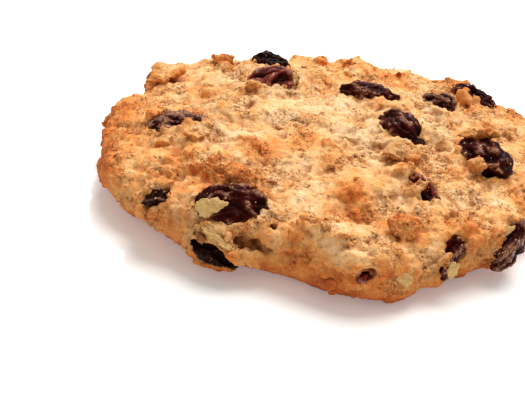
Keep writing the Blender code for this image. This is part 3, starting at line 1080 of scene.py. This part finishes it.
def raisin_material(name, fine, skin, edge, crest_sugar_and_highlight, crest_sugar_and_highlight_share, gloss, shine=1.0):
    """Raisin skin: darker down in the folds, partly painted shade, redder where it is thin, and pale on
    its crests, which is dry sugar and painted highlights along them.
    """
    material, tree, shader = new_material(name)
    position = object_position(tree)
    fold = attribute(tree, "fold")
    grain = use_group(tree, fine, {"Position": position, "Grain": SKIN_GRAIN})
    patch = tree.noise(position, 2.2 * MM, 4.0, 0.65)
    fine_patch = tree.noise(position, 0.7 * MM, 3.0, 0.7)
    thin = tree.math("ADD", tree.times(fold, 0.6), tree.times(patch, 0.6))
    # Painted shade: the skin is darkest down in the folds.
    colour = tree.mix(tree.ramp(thin, 0.45, 0.95), skin, edge)
    # Pale crests: a dusting of dry sugar, and painted highlights along the folds.
    crest = tree.math("ADD", tree.times(fold, 1.4), tree.times(patch, 0.9))
    crest = tree.math("ADD", crest, tree.times(fine_patch, 0.7))
    grainy = tree.ramp(tree.noise(position, 0.34 * MM, 3.0, 0.8, 0.4), 0.40, 0.58)
    sugar_and_highlight = tree.times(tree.ramp(crest, 2.05 - crest_sugar_and_highlight_share, 2.45 - crest_sugar_and_highlight_share), grainy)
    colour = tree.mix(tree.times(sugar_and_highlight, 0.9), colour, crest_sugar_and_highlight)
    tree.feed(shader.inputs["Base Color"], colour)
    tree.feed(shader.inputs["Roughness"], tree.ramp(sugar_and_highlight, 0.0, 1.0, gloss, 0.6))
    wet = tree.ramp(tree.noise(position, 0.8 * MM, 3.0, 0.6, 0.5), 0.55, 0.62, 0.0, shine)
    tree.feed(shader.inputs["Coat Weight"], tree.times(wet, tree.ramp(fold, 0.5, 0.8)))
    shader.inputs["Coat Roughness"].default_value = 0.09
    shader.inputs["Specular IOR Level"].default_value = 0.04
    shader.inputs["Specular Tint"].default_value = (1.0, 0.7, 0.6, 1)
    feed_bump(tree, shader, grain.outputs["Height"], SKIN_GRAIN_DEPTH)
    return material


def raisin_finishes(fine):
    dark, black = (0.016, 0.0012, 0.0006, 1), (0.004, 0.0006, 0.0004, 1)
    plum, red = (0.080, 0.005, 0.003, 1), (0.28, 0.020, 0.010, 1)
    tan, mauve = (0.48, 0.25, 0.15, 1), (0.38, 0.20, 0.14, 1)
    return {
        "black": raisin_material("raisin_black", fine, black, dark, tan, 0.0, 0.22, 0.4),
        "dark": raisin_material("raisin_dark", fine, black, plum, tan, 0.22, 0.24, 0.7),
        "plum": raisin_material("raisin_plum", fine, dark, plum, tan, 0.38, 0.26),
        "red": raisin_material("raisin_red", fine, dark, red, mauve, 0.50, 0.3),
        "sugar_and_highlight": raisin_material("raisin_dusty", fine, dark, plum, tan, 0.68, 0.4),
    }


RAISIN_LOOKS = {
    "raisin_left": "sugar_and_highlight",
    "raisin_left_back": "red",
    "raisin_back_round": "sugar_and_highlight",
    "raisin_back_red": "red",
    "raisin_front_peek": "red",
    "raisin_front_low": "red",
    "raisin_back_tall": "black",
    "raisin_under_left": "black",
    "raisin_left_low": "black",
    "raisin_back_right": "dark",
}

# ---------------- build


def surface_tree(names):
    """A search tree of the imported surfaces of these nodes."""
    bm = bmesh.new()
    for name in names:
        bm.from_mesh(frame["nodes"][name].data)
    tree = BVHTree.FromBMesh(bm)
    bm.free()
    return tree


def dress(obj, finish):
    obj.data.materials.clear()
    obj.data.materials.append(finish)
    obj.data.shade_smooth()


def build_cookie():
    fine = grain_group()
    dough_finish = dough_material(fine)
    flake_finish = flake_material(fine)
    looks = raisin_finishes(fine)

    names = sorted(n for n in frame["nodes"] if n.startswith("raisin"))
    tree = surface_tree(frame["nodes"])
    all_raisins = join_meshes("raisins", [mesh_from(node_mesh(name), name) for name in names])
    keep_off = link_object("raisins_keep_off", all_raisins)
    strew = strewer(scatter_group(), keep_off)

    dough, bed = make_dough(dough_finish, surface_tree(names), tree, strew)
    pieces = [(dough, "dough", "dough")]

    flakes = shape_collection("loose_flakes", [flat_scrap(n + 9) for n in range(5)])
    clumps = shape_collection("clumps", [broken_shape(n + 80, 2) for n in range(12)])
    crumbs = shape_collection("crumbs", [broken_shape(n + 60, 1, 6) for n in range(10)])

    oats = [strew(bed, flakes, flake_finish, FLAKES_ON, 23), *placed_flakes(tree)]
    oats = link_object("oat_flakes", join_meshes("oat_flakes", oats))
    dress(oats, flake_finish)
    loose = [strew(dough.data, crumbs, dough_finish, CRUMBS_ON, 29)]
    for number, name in enumerate(names):
        raisin = make_raisin(name, number)
        dress(raisin, looks[RAISIN_LOOKS.get(name, "plum")])
        pieces.append((raisin, name, "raisin"))
        loose.append(strew(raisin.data, crumbs, dough_finish, DUST_ON, 41 + number))

    pieces.append((oats, None, "dough"))
    for name, mesh in (
        ("loose_crumbs", join_meshes("loose_crumbs", loose)),
        ("crust_clumps", strew(dough.data, clumps, dough_finish, CLUMPS_ON, 31)),
        ("crust_crumbs", strew(dough.data, crumbs, dough_finish, BITS_ON, 37)),
    ):
        bits = link_object(name, mesh)
        mark_bits(mesh, dough.data)
        dress(bits, dough_finish)
        pieces.append((bits, None, "dough"))
    for collection in (flakes, clumps, crumbs):
        drop_collection(collection)
    bpy.data.objects.remove(keep_off)

    for piece, node, slot in pieces:
        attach(piece, BODY)
        if node:
            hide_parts(node)


# ---------------- stage


LIGHT_TARGET = Vector((0, 0, 0.01))
LIGHT_COLOUR = (1.0, 0.99, 0.98)


def make_floor():
    bm = bmesh.new()
    bmesh.ops.create_grid(bm, x_segments=1, y_segments=1, size=2.0)
    floor = link_object("floor", mesh_from(bm, "floor"))
    material, tree, shader = new_material("pale_floor")
    shader.inputs["Base Color"].default_value = (0.94, 0.95, 0.95, 1)
    shader.inputs["Roughness"].default_value = 0.6
    shader.inputs["Emission Color"].default_value = (1.0, 1.0, 1.0, 1)
    shader.inputs["Emission Strength"].default_value = 0.18
    floor.data.materials.append(material)


def make_light(name, energy, size, place):
    light = bpy.data.lights.new(name, "AREA")
    light.shape = "DISK"
    light.size = size
    light.energy = energy
    light.color = LIGHT_COLOUR
    obj = bpy.data.objects.new(name, light)
    bpy.context.scene.collection.objects.link(obj)
    obj.location = place
    obj.rotation_euler = (LIGHT_TARGET - Vector(place)).to_track_quat("-Z", "Y").to_euler()


def make_lights():
    world = bpy.data.worlds.new("studio")
    bpy.context.scene.world = world
    world.use_nodes = True
    background = world.node_tree.nodes["Background"]
    background.inputs["Color"].default_value = (1.0, 0.95, 0.87, 1)
    background.inputs["Strength"].default_value = 0.50
    make_light("key", energy=9.0, size=0.80, place=(0.18, 0.31, 0.84))
    make_light("spark", energy=1.7, size=0.08, place=(0.02, 0.42, 0.60))


CAMERA_TARGET = Vector((-0.0121, -0.0243, 0.008))
CAMERA_DISTANCE = 0.165
CAMERA_PITCH = math.radians(29)
CAMERA_ROLL = math.radians(5.3)
CAMERA_LENS = 68.6


def make_camera():
    data = bpy.data.cameras.new("camera")
    data.sensor_width = 36.0
    data.lens = CAMERA_LENS
    data.clip_start = 0.005
    camera = bpy.data.objects.new("camera", data)
    bpy.context.scene.collection.objects.link(camera)
    ahead = Vector((0, math.cos(CAMERA_PITCH), -math.sin(CAMERA_PITCH)))
    right = Vector((1, 0, 0))
    up = right.cross(ahead)
    tilted_right = right * math.cos(CAMERA_ROLL) + up * math.sin(CAMERA_ROLL)
    tilted_up = up * math.cos(CAMERA_ROLL) - right * math.sin(CAMERA_ROLL)
    axes = Matrix((tilted_right, tilted_up, -ahead)).transposed().to_4x4()
    camera.matrix_world = Matrix.Translation(CAMERA_TARGET - ahead * CAMERA_DISTANCE) @ axes
    bpy.context.scene.camera = camera


build_cookie()
make_floor()
make_lights()
make_camera()
bpy.context.scene.view_settings.view_transform = "Standard"
